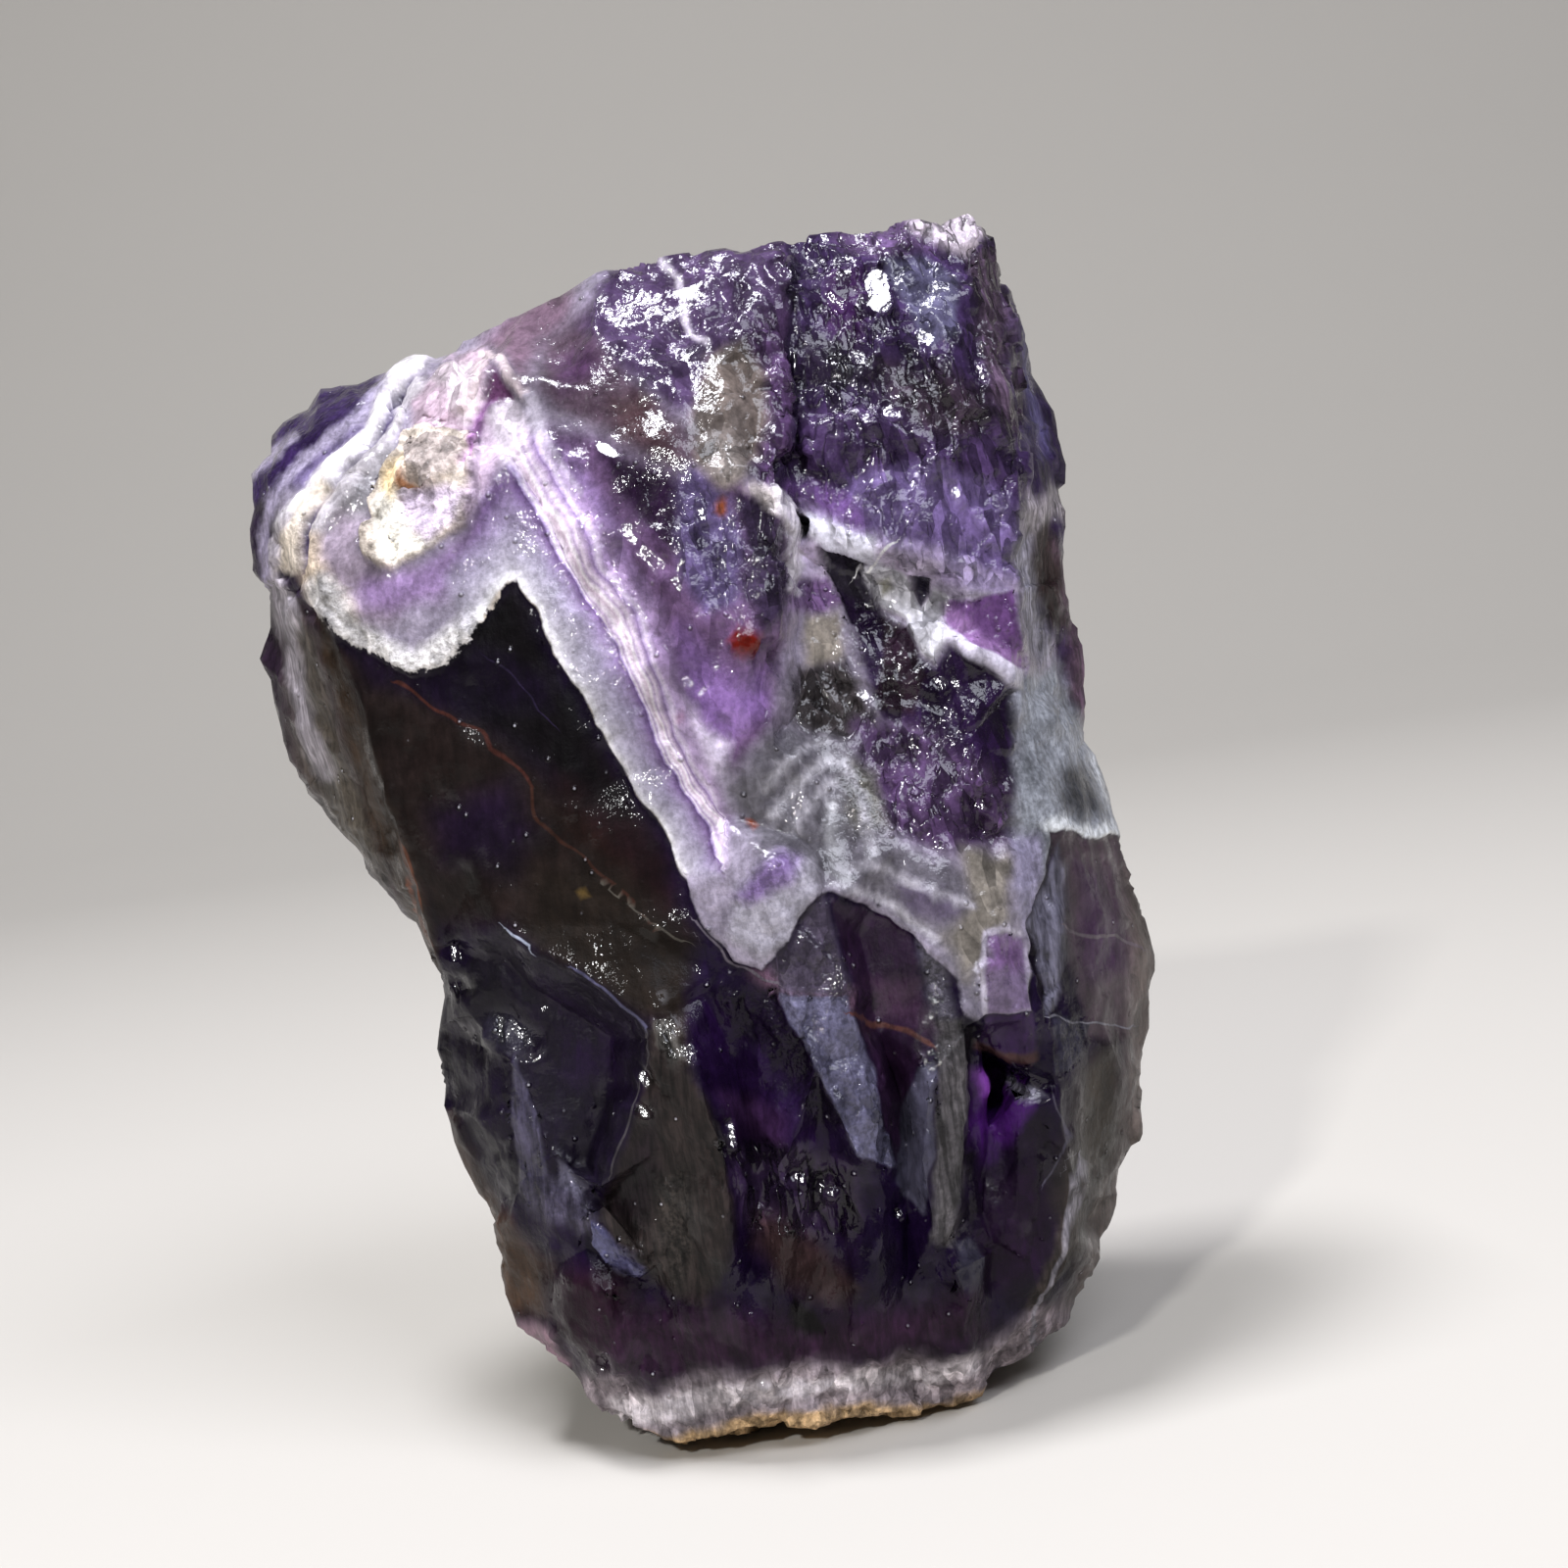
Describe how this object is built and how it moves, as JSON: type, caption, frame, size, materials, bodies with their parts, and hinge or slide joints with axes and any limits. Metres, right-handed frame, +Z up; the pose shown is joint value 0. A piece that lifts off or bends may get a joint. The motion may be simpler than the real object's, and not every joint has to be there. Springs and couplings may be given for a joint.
{
  "type": "chevron amethyst",
  "caption": "Rough upright chunk of banded purple and white quartz with hackly broken faces, standing on its flat growth base.",
  "frame": {"origin": "on the flat growth base, below the middle of the outer box", "axes": "+Z up from the growth base to the broken top; -Y out of the banded face; +X to the right as that face is seen"},
  "size_m": [0.063, 0.0448, 0.0829],
  "materials": {
    "banded_amethyst": "wet-looking broken quartz: dark violet crystal with milky zig-zag bands"
  },
  "bodies": {
    "root": {"amethyst_chunk": "banded_amethyst"}
  },
  "joints": []
}
